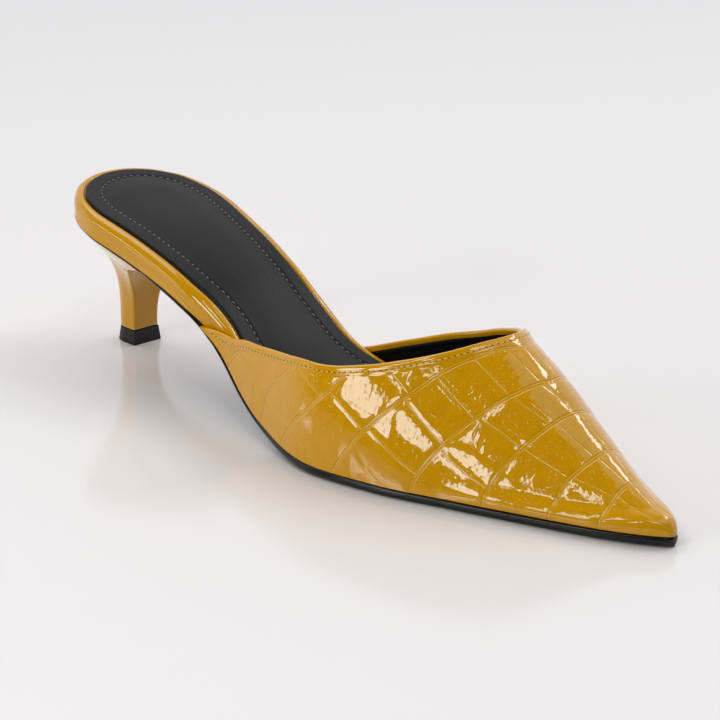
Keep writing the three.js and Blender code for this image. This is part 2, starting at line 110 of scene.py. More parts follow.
def add(tree, kind, sockets=None, **options):
    """Adds a node. options are its settings; sockets maps an input to a value or to the output that feeds it."""
    node = tree.nodes.new(kind)
    for key, value in options.items():
        setattr(node, key, value)
    for key, value in (sockets or {}).items():
        if isinstance(value, bpy.types.NodeSocket):
            tree.links.new(value, node.inputs[key])
        else:
            node.inputs[key].default_value = value
    return node


def new_material(name):
    """An empty material: its tree holds only the output node."""
    material = bpy.data.materials.new(name)
    material.use_nodes = True
    tree = material.node_tree
    tree.nodes.clear()
    return material, tree, tree.nodes.new("ShaderNodeOutputMaterial")


def maths(tree, operation, a, b=0.0, c=0.0):
    """The output of one Math node."""
    return add(tree, "ShaderNodeMath", {0: a, 1: b, 2: c}, operation=operation).outputs[0]


def step(tree, value, start, end, low=0.0, high=1.0):
    """Goes smoothly from low to high as value goes from start to end."""
    sockets = {"Value": value, "From Min": start, "From Max": end, "To Min": low, "To Max": high}
    return add(tree, "ShaderNodeMapRange", sockets, interpolation_type="SMOOTHSTEP").outputs["Result"]


# %% [markdown]
# ## Smooth curves through tables
# A last is noted as a table of widths and heights at a few places. A monotone cubic runs through the
# rows without overshooting, so a shape never bulges between two measurements. The toe and the seat end
# round, and they do so by themselves when the places are turned into the angle of a half circle.

# %% Curves
def curve_through(places, values):
    """Monotone cubic: a row's slope is the harmonic mean of the slopes beside it, weighted by length."""
    places, values = np.asarray(places, float), np.asarray(values, float)
    steps = np.diff(places)
    rates = np.diff(values) / steps
    before, after = 2 * steps[1:] + steps[:-1], steps[1:] + 2 * steps[:-1]
    alike = rates[:-1] * rates[1:] > 0
    safe = np.where(alike, rates[:-1], 1), np.where(alike, rates[1:], 1)
    inner = np.where(alike, (before + after) / (before / safe[0] + after / safe[1]), 0)

    def end(near, following, rate, next_rate):
        slope = ((2 * near + following) * rate - near * next_rate) / (near + following)
        if slope * rate <= 0:
            return 0.0
        return 3 * rate if rate * next_rate < 0 and abs(slope) > abs(3 * rate) else slope

    slopes = np.array([end(steps[0], steps[1], rates[0], rates[1]), *inner,
                       end(steps[-1], steps[-2], rates[-1], rates[-2])])

    def curve(place):
        place = np.asarray(place, float)
        i = np.clip(np.searchsorted(places, place, side="right") - 1, 0, len(steps) - 1)
        t = np.clip((place - places[i]) / steps[i], 0, 1)
        s = 1 - t
        return (values[i] * s * s * (1 + 2 * t) + values[i + 1] * t * t * (3 - 2 * t)
                + steps[i] * t * s * (s * slopes[i] - t * slopes[i + 1]))
    return curve


def angle_of(x):
    """Turn of a half circle over the shoe's length: 0 at the seat, pi at the toe."""
    return np.arccos(np.clip(1 - 2 * np.asarray(x, float) / LENGTH, -1, 1))


def smooth(x, start, end):
    """0 before start, 1 after end, and 3t^2 - 2t^3 between."""
    t = np.clip((x - start) / (end - start), 0, 1)
    return t * t * (3 - 2 * t)


def mix(a, b, t):
    """a where t is 0, b where t is 1."""
    return a + (b - a) * t


# %% [markdown]
# ## The last
# Its feather line, where upper and sole meet, has a plan and a height. The plan is kept as half widths
# to the little toe's side (side -1) and to the big toe's side (side +1), at places along the shoe.

# %% Plan and height of the feather line
OUTLINE = np.array([  # place as a share of the length, half width on side -1, half width on side +1
    [0, 0, 0], [.0076, 10.01, 10.01], [.0305, 18.78, 18.78], [.0687, 25.02, 25.02], [.1145, 26.9, 26.9],
    [.229, 26.79, 22.49], [.3435, 26.9, 18.36], [.458, 33.52, 22.79], [.5725, 39.7, 32.49], [.668, 36, 37],
    [.7634, 27.68, 32], [.8588, 18.8, 22.6], [.9466, 9.8, 10.6], [.9847, 4.2, 4.5], [1, 0, 0]])
FEATHER = np.array([  # place, height in mm
    [0, 50.8], [.0954, 45.6], [.1908, 40.4], [.3053, 30.81], [.4198, 11.59], [.4771, 6.2], [.5344, 3.91],
    [.5916, 3.1], [.7824, 3.1], [.8969, 3.2], [1, 3.5]])
HALF = {side: curve_through(angle_of(OUTLINE[:, 0] * LENGTH), OUTLINE[:, column])
        for side, column in ((-1, 1), (1, 2))}
WING_TIP = {-1: 85.3, 1: 105.0}
WALL_ROOM = 2.1  # wall of the vamp and the clearance inside it


def feather(x):
    """Height of the feather line."""
    return curve_through(FEATHER[:, 0] * LENGTH, FEATHER[:, 1])(x)


def under_wing(side, x):
    """Share of the vamp's wall that the board leaves room for: 0 behind the wing's tip, 1 in front of it."""
    return smooth(x, WING_TIP[side] - 10, WING_TIP[side] + 10)


def plan(side, x, inset):
    """The point of the feather line at x, moved inwards, square to the line, by inset mm. The line is
    (angle -> x, half width), so its direction is well defined at the round ends too."""
    turn = angle_of(x)
    dx = LENGTH / 2 * np.sin(turn)
    before, after = np.maximum(turn - 1e-3, 0), np.minimum(turn + 1e-3, np.pi)
    dh = (HALF[side](turn + 1e-3) - HALF[side](turn - 1e-3)) / (after - before)
    size = np.hypot(dx, dh)
    return x + inset * dh / size, side * (HALF[side](turn) - inset * dx / size)


print("ball", HALF[-1](angle_of(150)) + HALF[1](angle_of(150)), "seat height", feather(0))

# %% [markdown]
# ## From a grid of points to a piece
# Every surface below is a grid of points. One quad goes between each four neighbours, points that meet
# are merged, open ends are closed and all faces are turned outwards. Values for each point, such as
# where it lies in the pattern, travel along as UV maps.

# %% Grids to meshes
def skin(name, points, wraps=(False, False), maps=None, crease=40):
    """Mesh of a grid of points in mm. wraps: whether rows or columns join up; maps: UV map -> values."""
    number = np.arange(points.shape[0] * points.shape[1]).reshape(points.shape[:2])
    if wraps[0]:
        number = np.vstack([number, number[:1]])
    if wraps[1]:
        number = np.hstack([number, number[:, :1]])
    quads = np.stack([number[:-1, :-1], number[1:, :-1], number[1:, 1:], number[:-1, 1:]], -1).reshape(-1, 4)
    return piece_of(name, points.reshape(-1, 3), quads, maps, crease)


def piece_of(name, points, quads, maps=None, crease=40):
    """Object from points in mm and quads: merges what meets, fills what is open, turns faces outwards."""
    mesh = bpy.data.meshes.new(name)
    mesh.from_pydata(((points - CENTRE) * MM).tolist(), [], quads.tolist())
    for map_name, values in (maps or {}).items():
        layer = mesh.uv_layers.new(name=map_name)
        layer.uv.foreach_set("vector", values.reshape(-1, 2)[quads.ravel()].astype(np.float32).ravel())
    work = bmesh.new()
    work.from_mesh(mesh)
    bmesh.ops.remove_doubles(work, verts=work.verts, dist=2e-6)
    open_edges = [edge for edge in work.edges if edge.is_boundary]
    bmesh.ops.holes_fill(work, edges=open_edges)
    bmesh.ops.recalc_face_normals(work, faces=work.faces)
    work.to_mesh(mesh)
    work.free()
    mesh.shade_smooth()
    mesh.set_sharp_from_angle(angle=math.radians(crease))
    piece = bpy.data.objects.new(name, mesh)
    bpy.context.scene.collection.objects.link(piece)
    print(name, len(mesh.polygons), "faces")
    return piece


def dress(piece, material, slot, *nodes):
    """Gives a piece its material, hides the solids it stands for, and lets it ride on the shoe."""
    piece.data.materials.append(material)
    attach(piece, "root")
    if nodes:
        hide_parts(*nodes)


# %% [markdown]
# ## Studio
# Patent leather is a mirror over a colour, so the studio is half of its look. The floor is pale and a
# little glossy. It is bright behind and over the shoe and dark round the camera, which keeps the yellow
# deep on the side that faces it. Low windows before the flank draw its white patches, thin ones draw the
# streaks by the toe and along the rim, long ones behind draw the line along the ridge, and broad dim
# panels lift the shade. Each is placed where a mirror lying on that part of the shoe would show it.

# %% Floor
def aim(direction_azimuth, direction_elevation):
    """Unit vector to a place in the studio; azimuth 0 is the side of the little toe, 90 is ahead of the toe."""
    a, e = math.radians(direction_azimuth), math.radians(direction_elevation)
    return np.array([math.sin(a) * math.cos(e), -math.cos(a) * math.cos(e), math.sin(e)])


floor_material, tree, output = new_material("floor_satin_white_board")
shader = add(tree, "ShaderNodeBsdfPrincipled", {"Base Color": linear("#EFE9EC"), "Roughness": 0.12, "IOR": 1.5})
tree.links.new(shader.outputs[0], output.inputs[0])
floor = bpy.data.objects.new("floor", bpy.data.meshes.new("floor"))
floor.data.from_pydata([(-8, -8, 0), (8, -8, 0), (8, 8, 0), (-8, 8, 0)], [], [(0, 1, 2, 3)])
floor.data.materials.append(floor_material)
bpy.context.scene.collection.objects.link(floor)


# %% Lights
def window(name, azimuth, elevation, distance, size, strength, tilt=0.0):
    """A soft box of that size in metres, seen from the shoe in that direction and facing it; strength is
    its brightness in watts a square metre of box, and tilt turns its width up, in degrees."""
    light = bpy.data.lights.new(name, "AREA")
    light.shape, light.size, light.size_y = "RECTANGLE", *size
    light.energy = strength * size[0] * size[1]
    light.color = linear("#FAFFF8")[:3]
    towards = aim(azimuth, elevation)
    across = np.array([-towards[1], towards[0], 0.0])
    across /= np.linalg.norm(across)
    upwards = np.cross(towards, across)
    t = math.radians(tilt)
    across, upwards = (math.cos(t) * across + math.sin(t) * upwards,
                       math.cos(t) * upwards - math.sin(t) * across)
    centre = towards * distance + np.array([0.03, 0.0, 0.02])
    box = bpy.data.objects.new(name, light)
    box.matrix_world = pose(across, upwards, towards, centre)
    bpy.context.scene.collection.objects.link(box)
    return box


window("window_low", -12.5, 15.5, 1.3, (0.38, 0.34), 33)
window("window_low_end", 4, 17, 1.3, (0.17, 0.18), 33)
window("window_line", -45, 7.5, 1.3, (0.28, 0.045), 34)
window("window_upper", 20, 37.5, 1.3, (0.14, 0.12), 30)
window("window_small", 8, 48, 1.3, (0.06, 0.26), 30)
window("window_thin", 3.0, 43, 1.3, (0.05, 0.85), 32)
window("window_ridge", 167, 53, 1.4, (0.65, 0.15), 38, -47)
window("window_rim", 191, 43, 1.4, (0.45, 0.06), 34, -29)
window("window_tip", 50, 55, 1.4, (0.3, 0.3), 18)
window("panel_left", -84, 56, 1.5, (1.0, 0.6), 8)
window("ceiling", 105, 68, 1.9, (1.5, 0.9), 3.5)

# %% World
world = bpy.data.worlds.new("studio")
world.use_nodes = True
bpy.context.scene.world = world
tree = world.node_tree
tree.nodes.clear()
where = add(tree, "ShaderNodeTexCoord").outputs["Generated"]
sockets = {0: where, 1: tuple(aim(28, 30))}
to_camera = add(tree, "ShaderNodeVectorMath", sockets, operation="DOT_PRODUCT").outputs["Value"]
shade = step(tree, to_camera, -0.1, 0.5, 1.0, 0.02)
background = add(tree, "ShaderNodeBackground", {"Color": linear("#F1F2F6"), "Strength": shade})
output = add(tree, "ShaderNodeOutputWorld", {"Surface": background.outputs[0]})
bpy.context.scene.view_settings.view_transform = "Standard"

# %% [markdown]
# ## The form of the vamp
# Over the feather line the last is an arch at every place along it: its side rises with the sine of a
# turn, its width goes with the cosine, and two powers make the ridge and the flank. turn is 0 at the
# feather line of the little toe, 1 on the ridge and 2 at the feather line of the big toe.

# %% Cross-sections of the last
SECTIONS = np.array([  # place, height over the feather line, power of the cosine, power of the sine
    [.3053, 49.98, 1, 1], [.4198, 56.01, 1, 1], [.5344, 60.02, 1, 1.01], [.6107, 57.51, 1.03, 1.08],
    [.6794, 52.01, 1.09, 1.3], [.7366, 44, 1.14, 1.5], [.7939, 35.2, 1.16, 1.58], [.8473, 25.3, 1.17, 1.63],
    [.9008, 16.02, 1.17, 1.64], [.9466, 9.2, 1.12, 1.5], [.9771, 5.3, 1.06, 1.35], [.9924, 2.8, 1.02, 1.25],
    [1, 0, 1, 1.2]])
section_height = curve_through(angle_of(SECTIONS[:, 0] * LENGTH), SECTIONS[:, 1])
section_round = curve_through(SECTIONS[:, 0] * LENGTH, SECTIONS[:, 2])
section_lean = curve_through(SECTIONS[:, 0] * LENGTH, SECTIONS[:, 3])


def vamp_half(side, x):
    """Half width of the vamp: the feather line's, and at the wing's tip the wall stands outside the board."""
    turn = angle_of(x)
    slope = (HALF[side](turn + 1e-3) - HALF[side](turn - 1e-3)) / 2e-3
    slope /= np.maximum(LENGTH / 2 * np.sin(turn), 3)
    return HALF[side](turn) + WALL_ROOM * (1 - under_wing(side, x)) * np.hypot(1, slope)


def last_point(x, turn):
    """Point of the last: across goes with cos(turn) to one power, up with sin(turn) to another."""
    little, big = vamp_half(-1, x), vamp_half(1, x)
    angle = turn * np.pi / 2
    across = np.sign(np.cos(angle)) * np.abs(np.cos(angle)) ** section_round(x)
    up = np.abs(np.sin(angle)) ** section_lean(x)
    y = (big - little) / 2 - (big + little) / 2 * across
    return np.stack([x, y, feather(x) + section_height(angle_of(x)) * up], -1)


def last_normal(x, turn):
    """Outward unit normal of the last, from its slopes along the shoe and round the arch."""
    along = last_point(np.minimum(x + 0.4, LENGTH), turn) - last_point(x - 0.4, turn)
    over = last_point(x, np.minimum(turn + 0.015, 2)) - last_point(x, np.maximum(turn - 0.015, 0))
    normal = np.cross(along, over)
    size = np.linalg.norm(normal, axis=-1, keepdims=True)
    return np.where(size > 1e-6, normal / np.maximum(size, 1e-6), [1.0, 0.0, 0.0])


# %% [markdown]
# The vamp is cut from one piece. Its topline runs from the tip of one wing over the instep to the tip
# of the other. Lines like the ribs of a fan run from the topline to the feather line, and a point of
# the vamp is named by its rib and by how far down the rib it lies.

# %% Ribs of the fan
TOPLINE = {  # place, turn and the place where the rib ends at the feather line
    -1: np.array([
        [.3256, 0, .3256], [.3569, .069, .3664], [.3855, .133, .4084], [.416, .207, .4504], [.4447, .249, .4885],
        [.474, .283, .5267], [.5302, .327, .5935], [.5756, .359, .645], [.6099, .399, .6908], [.6389, .451, .7366],
        [.6645, .516, .7824], [.6882, .587, .8282], [.7088, .672, .8779], [.7265, .78, .9275], [.7384, .889, .9714],
        [.7414, .945, .989], [.7424, 1, 1]]),
    1: np.array([
        [.4008, 0, .4008], [.416, .044, .421], [.4344, .086, .4504], [.4546, .13, .48], [.4756, .169, .5076],
        [.5122, .223, .5515], [.5676, .3, .6183], [.6099, .369, .6756], [.6374, .428, .7195], [.6622, .494, .7672],
        [.687, .567, .8168], [.708, .667, .874], [.7263, .778, .9275], [.7384, .889, .9714], [.7414, .945, .989],
        [.7424, 1, 1]])}
RIBS = 300  # a side


def ribs(side, down):
    """x and turn at shares down the ribs of one side; down has a row for each rib."""
    table = TOPLINE[side]
    rows, place = np.linspace(0, 1, len(table)), np.linspace(0, 1, RIBS + 1)
    top = curve_through(rows, table[:, 0])(place)[:, None] * LENGTH
    start = curve_through(rows, table[:, 1])(place)[:, None]
    foot = LENGTH / 2 * (1 - np.cos(curve_through(rows, angle_of(table[:, 2] * LENGTH))(place)[:, None]))
    rest = np.maximum(1 - start * down, 1e-9)
    turn = np.where(start > 1 - 1e-6, 1.0, start * (1 - down) / rest)
    return mix(top, foot, down), turn if side < 0 else 2 - turn


def fan(down):
    """x and turn of the whole vamp, the ribs of the little toe's side first, then back down the other."""
    little, big = ribs(-1, down[:RIBS + 1]), ribs(1, down[RIBS:][::-1])
    return [np.vstack([a, b[::-1][1:]]) for a, b in zip(little, big)]


fine = np.linspace(0, 1, 121) ** 1.3 * np.ones((2 * RIBS + 1, 1))
track = last_point(*fan(fine))
travelled = np.cumsum(np.linalg.norm(np.diff(track, axis=1), axis=-1), axis=1)
travelled = np.hstack([np.zeros((2 * RIBS + 1, 1)), travelled])
rib_length = travelled[:, -1]
topline_length = np.linalg.norm(np.diff(track[:, 0], axis=0), axis=-1).sum()
print("longest rib", rib_length.max().round(1), "mm; topline", topline_length.round(1), "mm")


def down_at(distance):
    """Shares down the ribs at distances in mm from the topline; a row for each rib."""
    return np.array([np.interp(d, t, f) for d, t, f in zip(distance, travelled, fine)])


# %% [markdown]
# ## The chart of the plates
# The leather is cowhide, pressed between hot plates with the relief of a crocodile's belly and then
# lacquered. Its plates lie in bands across the foot. Deep folds part the bands, and thinner lines part
# the plates of a band. The folds are charted as the x where each one crosses a number of turns,
# and the lines as the turn where each one leaves a fold and reaches the next.

# %% Folds and lines
FOLD_TURNS = np.array([0, .1, .2, .3, .45, .6, .8, 1, 1.2, 1.4, 1.55, 1.7, 1.8, 1.9, 2])
FOLDS = np.array([  # one row a fold, from the wings to the toe; x in mm at each turn above
    [72, 78, 86, 96, 110, 122, 136, 150, 138, 124, 114, 104, 97, 91, 86],
    [99, 104, 112, 123, 137, 149, 156, 158, 156, 146, 138, 128, 121, 115, 110],
    [122.3, 125.2, 131.3, 139.8, 150, 158, 162, 163, 163, 158, 153, 145, 138, 132, 127],
    [136, 142, 149.7, 156.6, 163.5, 168, 176, 182, 177, 170, 165, 159, 153, 147, 141],
    [160.6, 164.8, 169.2, 174.1, 181.5, 187.4, 195, 199.3, 196, 189, 183, 177, 172, 168, 164],
    [187.5, 188.2, 190.2, 193.1, 198.5, 203.6, 209, 211.5, 209.5, 205, 200.5, 196, 193, 190.5, 188.5],
    [209.8, 210.1, 210.5, 211.6, 214.4, 217.3, 220, 221.4, 220.6, 218.2, 215.6, 213, 211.4, 210.2, 209.6],
    [229.8, 229.7, 229.7, 229.9, 230.2, 231.8, 233.4, 233.9, 233.5, 232.4, 231.2, 230.2, 229.6, 229.3, 229.2],
    [244, 244, 243.9, 243.9, 244.1, 244.2, 244.5, 244.6, 244.6, 244.5, 244.3, 244.1, 243.9, 243.8, 243.8],
    [266, 266, 266, 266, 266, 266, 266, 266, 266, 266, 266, 266, 266, 266, 266]])
LINES = [  # one list a band: (turn at its first fold, turn at its second) of each line
    [(.15, .14), (1.86, 1.87)],
    [(.14, .12), (1.72, 1.75), (1.87, 1.9)],
    [(.12, .10), (.30, .25), (1.62, 1.66), (1.78, 1.8), (1.9, 1.93)],
    [(.10, -.02), (.29, .22), (.50, .43), (.61, .55), (1.4, 1.42), (1.56, 1.6), (1.74, 1.78), (1.88, 1.96)],
    [(.16, -.05), (.245, .15), (.41, .33), (.55, .49), (.71, .68), (.88, .89), (1.13, 1.11), (1.3, 1.32),
     (1.46, 1.51), (1.6, 1.68), (1.76, 1.86), (1.86, 2.05)],
    [(.31, .20), (.51, .50), (.68, .73), (.88, .98), (1.22, 1.2), (1.4, 1.38), (1.56, 1.56), (1.74, 1.82)],
    [(.50, .51), (.75, .82), (1.05, 1.1), (1.3, 1.28), (1.52, 1.5), (1.72, 1.76)],
    [(.53, .61), (.84, .92), (1.15, 1.12), (1.42, 1.4), (1.66, 1.62)],
    [(.64, .60), (1.15, 1.1), (1.45, 1.4)]]
FOLD_AT = [curve_through(FOLD_TURNS, row) for row in FOLDS]


def count_between(knots, x):
    """How many knots x has passed, and how far it is to the next: a monotone cubic through (knot, its
    number), with knots of its own for every point, so that the count is smooth where it passes one."""
    i = np.clip((knots <= x[:, None]).sum(1) - 1, 0, knots.shape[1] - 2)
    steps = np.diff(knots, axis=1)
    rates = 1 / np.maximum(steps, 1e-6)
    before, after = 2 * steps[:, 1:] + steps[:, :-1], steps[:, 1:] + 2 * steps[:, :-1]
    inner = (before + after) / (before / rates[:, :-1] + after / rates[:, 1:])
    slopes = np.hstack([rates[:, :1], inner, rates[:, -1:]])
    pick = lambda array, at: np.take_along_axis(array, at[:, None], 1)[:, 0]
    step_here = pick(steps, i)
    t = np.clip((x - pick(knots, i)) / step_here, 0, 1)
    s = 1 - t
    return (i * s * s * (1 + 2 * t) + (i + 1) * t * t * (3 - 2 * t)
            + step_here * t * s * (s * pick(slopes, i) - t * pick(slopes, i + 1)))


def folds_passed(x, turn):
    """Number of folds between the wings and each point; whole on a fold."""
    return count_between(np.stack([fold(turn) for fold in FOLD_AT], 1), x)


def lines_passed(folds, band, turn):
    """Number of lines below each point in its band; whole on a line."""
    count = np.zeros(len(turn))
    for number, lines in enumerate(LINES):
        here = band == number
        if here.any():
            share = np.clip(folds[here] - number, 0, 1)[:, None]
            starts, ends = np.array([(-.3, -.3), *lines, (2.3, 2.3)]).T
            knots = np.sort(mix(starts, ends, share), axis=1)
            count[here] = count_between(knots, turn[here])
    return count


def chart(x, turn):
    """Counts of folds and lines at each point, and how many mm of leather one count takes there. The
    counts' slopes are measured over a small step along x and round the arch, on the bent surface."""
    shape = x.shape
    x, turn = x.ravel(), turn.ravel()
    dx, dt = 0.05, 0.002
    folds = folds_passed(x, turn)
    band = np.clip(np.floor(folds), 0, len(LINES) - 1)
    lines = lines_passed(folds, band, turn)
    folds_x, folds_t = folds_passed(x + dx, turn), folds_passed(x, turn + dt)
    lines_x, lines_t = lines_passed(folds_x, band, turn), lines_passed(folds_t, band, turn + dt)
    slopes = [((after_x - here) / dx, (after_t - here) / dt)
              for here, after_x, after_t in ((folds, folds_x, folds_t), (lines, lines_x, lines_t))]
    safe_turn = np.clip(turn, 0.02, 1.98)
    here = last_point(x, safe_turn)
    along = (last_point(x - 0.05, safe_turn) - here) / -0.05
    over = (last_point(x, safe_turn + 0.01) - here) / 0.01
    a, b, c = (along * along).sum(1), (along * over).sum(1), np.maximum((over * over).sum(1), 4.0)
    det = np.maximum(a * c - b * b, 1e-3)
    reach = [1 / np.sqrt(np.maximum((c * fx * fx - 2 * b * fx * ft + a * ft * ft) / det, 1e-6))
             for fx, ft in slopes]
    return [array.reshape(shape) for array in (folds, lines, *reach)]


# %% [markdown]
# ## The vamp
# Seen in section, the patent leather comes up the outside, turns over the edge in a roll and ends a
# little way down the inside. Below the roll is a smooth folded band, held by a row of stitches in a
# shallow valley, and below that the plates begin, each raised in the middle. The plates and the band
# are real relief. Folds, lines and the finest grain are left to the material.

# %% Section of the vamp's wall
WALL, ROLL_REACH, ROLL_HEIGHT, BAND_WIDTH, STITCH_ROW = 1.55, 0.85, 0.22, 3.2, 2.35
EDGE_SHARE = np.clip(rib_length / 9, 0, 1)[:, None]  # near the tip of a wing all these shrink


def plate_relief(folds, lines, fold_reach, line_reach, from_topline):
    """Height of the leather in mm: 0.08 more in the middle of a plate than in the folds, and the band's own
    height near the topline. A plate has round corners: past 2.4 mm from its edges it is level, and nearer
    the height goes with the distance left in both directions at once."""
    to_fold = np.abs(folds - np.round(folds)) * fold_reach
    to_line = np.abs(lines - np.round(lines)) * line_reach * 1.5
    corner = np.hypot(np.maximum(2.4 - to_fold, 0), np.maximum(2.4 - to_line, 0))
    plate = 0.08 * smooth(2.4 - corner, 0, 2.4) - 0.1
    valley = 0.12 * np.exp(-((from_topline - STITCH_ROW) / 0.45) ** 2)
    band = ROLL_HEIGHT - valley
    return mix(band, plate, smooth(from_topline, BAND_WIDTH - 0.3, BAND_WIDTH + 0.6))


def wall(distance, depth):
    """Points of the vamp at distances from the topline and depths under the last's surface, in mm."""
    x, turn = fan(down_at(distance))
    return last_point(x, turn) - last_normal(x, turn) * depth[..., None]


ROWS = 122
share = np.linspace(0, 1, ROWS)
near_edge = 5.0 * EDGE_SHARE * np.minimum(share / 0.11, 1)
rest = np.maximum(share - 0.11, 0) / 0.89 * (rib_length[:, None] - (ROLL_REACH + 5.0) * EDGE_SHARE)
outer_distance = np.minimum(ROLL_REACH * EDGE_SHARE + near_edge + rest, rib_length[:, None])
x, turn = fan(down_at(outer_distance))
folds, lines, fold_reach, line_reach = chart(x, turn)
from_topline = outer_distance / np.maximum(EDGE_SHARE, 0.02)
outer_height = plate_relief(folds, lines, fold_reach, line_reach, from_topline)
to_feather = np.maximum(rib_length[:, None] - outer_distance, 0)
outer_height *= smooth(to_feather, 0, 1.5) * EDGE_SHARE
# Round the toe the wall stands steeper: it leans out over the sole and is back on the last 11 mm up.
LEAN = 0.36
at_toe = smooth(x, 190, 225) * smooth(rib_length[:, None], 6, 20)
outer_height += LEAN * to_feather * (1 - smooth(to_feather, 1.5, 11)) * at_toe
print("plates: counts up to", folds.max().round(2), lines.max().round(2))
print("height", outer_height.min().round(2), outer_height.max().round(2))

# %% Roll and inside
around = np.linspace(0, np.pi, 11)[1:-1]
roll_half = (WALL + ROLL_HEIGHT) / 2
roll_distance = ROLL_REACH * EDGE_SHARE * (1 - np.sin(around))
roll_depth = roll_half - ROLL_HEIGHT - roll_half * np.cos(around) + 0 * roll_distance
INNER_ROWS = 24
turned_in = np.array([0.0, 0.5, 1.0, 1.1])
inner_distance = np.hstack([(ROLL_REACH + turned_in) * EDGE_SHARE,
                            mix((ROLL_REACH + 1.2) * EDGE_SHARE, rib_length[:, None], np.linspace(0, 1, INNER_ROWS))])
inner_depth = np.array([WALL, WALL, WALL - 0.05, WALL - 0.3] + [1.0] * INNER_ROWS) * np.ones((2 * RIBS + 1, 1))

distance = np.hstack([outer_distance[:, ::-1], roll_distance, inner_distance])
depth = np.hstack([-outer_height[:, ::-1], roll_depth, inner_depth])
vamp_points = wall(np.minimum(distance, rib_length[:, None]), depth)


def around_section(outer, filler):
    """Values for every point of the vamp's section: the outer surface's own, and one value for the rest."""
    return np.hstack([outer[:, ::-1], np.full((len(outer), depth.shape[1] - outer.shape[1]), filler)])


girth = turn * np.pi / 2 * 30
vamp_maps = {
    "plates": np.stack([around_section(folds, 0.5), around_section(lines, 0.5)], -1),
    "reach": np.stack([around_section(fold_reach, 9.0), around_section(line_reach, 9.0)], -1),
    "skin": np.stack([around_section(x, 0.0), around_section(girth, 0.0)], -1),
    "edge": np.stack([around_section(from_topline, 0.0), around_section(to_feather, 9.0)], -1)}
vamp = skin("vamp", vamp_points, (False, True), vamp_maps, crease=55)

# %% [markdown]
# ## Patent leather
# Patent leather is a coloured hide under a coat of clear polyurethane. The eye gets a soft colour from
# the hide and a hard, white reflection from the coat, so the shader has a rough base and a smooth coat.
# The press left fine wrinkles and pits, a millimetre or two across, which fray the edges of every
# reflection. They run across the foot, so their pattern is stretched in that direction. A fold is a
# groove with a thin rib along its bottom, and folds and lines get a lighter colour painted in as a
# highlight.

# %% Patent with plates
def lacquer(tree, output, colour, bump):
    """Rough coloured hide (base) under a clear polyurethane coat of index 1.5."""
    sockets = {"Base Color": colour, "Roughness": 0.42, "IOR": 1.45, "Coat Weight": 1.0, "Coat Roughness": 0.03,
               "Coat IOR": 1.5, "Specular IOR Level": 0.0, "Normal": bump, "Coat Normal": bump}
    tree.links.new(add(tree, "ShaderNodeBsdfPrincipled", sockets).outputs[0], output.inputs[0])


def map_of(tree, name):
    """The two values of a UV map."""
    split = add(tree, "ShaderNodeSeparateXYZ", {0: add(tree, "ShaderNodeUVMap", uv_map=name).outputs[0]})
    return split.outputs[0], split.outputs[1]


def grain(tree, vector, stretch, detail=3.0, roughness=0.55):
    """Noise whose features are 1 / stretch mm along each axis of a vector in mm."""
    scaled = add(tree, "ShaderNodeMapping", {"Vector": vector, "Scale": stretch}).outputs[0]
    sockets = {"Vector": scaled, "Scale": 1.0, "Detail": detail, "Roughness": roughness}
    return add(tree, "ShaderNodeTexNoise", sockets).outputs[0]


def two_tones(tree, share, first, second):
    """Colour that goes from the first to the second as share goes from 0 to 1; hex or another node's output."""
    first, second = [linear(tone) if isinstance(tone, str) else tone for tone in (first, second)]
    return add(tree, "ShaderNodeMix", {0: share, 6: first, 7: second}, data_type="RGBA").outputs[2]


patent_croc, tree, output = new_material("croc_pressed_mustard_patent_leather")
folds_s, lines_s = map_of(tree, "plates")
fold_reach_s, line_reach_s = map_of(tree, "reach")
topline_s, feather_s = map_of(tree, "edge")
skin_uv = add(tree, "ShaderNodeUVMap", uv_map="skin").outputs[0]

to_fold = maths(tree, "MULTIPLY", maths(tree, "PINGPONG", folds_s, 0.5), fold_reach_s)
to_line = maths(tree, "MULTIPLY", maths(tree, "PINGPONG", lines_s, 0.5), line_reach_s)
on_plates = step(tree, topline_s, 3.0, 3.9)
fold_shape = step(tree, to_fold, 0.5, 0.85, 1.0, 0.0)
line_shape = maths(tree, "MULTIPLY", step(tree, to_line, 0.05, 0.36, 1.0, 0.0), step(tree, to_fold, 0.6, 1.1))
fold_rib = step(tree, to_fold, 0.0, 0.4, 1.0, 0.0)
swell = grain(tree, skin_uv, (0.16, 0.1, 1.0), 0.5)
mottle = grain(tree, skin_uv, (0.5, 0.25, 1.0), 2.0)
wrinkle = grain(tree, skin_uv, (0.75, 0.5, 1.0), 1.0, 0.4)
pits = step(tree, grain(tree, skin_uv, (1.5, 1.0, 1.0), 0.0), 0.66, 0.74)

relief = maths(tree, "MULTIPLY", fold_shape, -0.13)
relief = maths(tree, "MULTIPLY_ADD", fold_rib, 0.09, relief)
relief = maths(tree, "MULTIPLY_ADD", line_shape, -0.07, relief)
relief = maths(tree, "MULTIPLY_ADD", swell, 0.12, relief)
relief = maths(tree, "MULTIPLY_ADD", wrinkle, 0.03, relief)
relief = maths(tree, "MULTIPLY_ADD", pits, -0.035, relief)
relief = maths(tree, "MULTIPLY", relief, on_plates)
bump = add(tree, "ShaderNodeBump", {"Height": relief, "Distance": MM, "Strength": 1.0}).outputs[0]

tone = two_tones(tree, mottle, "#CB8D00", "#DC9F08")
# Painted highlight: folds and lines are mixed halfway towards a lighter yellow.
painted_fold_highlight = maths(tree, "MULTIPLY", maths(tree, "MAXIMUM", fold_rib, line_shape), on_plates)
lacquer(tree, output, two_tones(tree, maths(tree, "MULTIPLY", painted_fold_highlight, 0.5), tone, "#D9A81C"), bump)
dress(vamp, patent_croc, "patent_croc", "upper")

# %% [markdown]
# ## Lining and stitches
# The inside is lined with black leather, which starts just under the turned-in patent. A stitch is a
# short sausage of thread that dips into the leather at both ends. One is worked out as a small grid and
# copied along a path for the whole row, so the row is a single mesh with a few dozen faces a stitch.

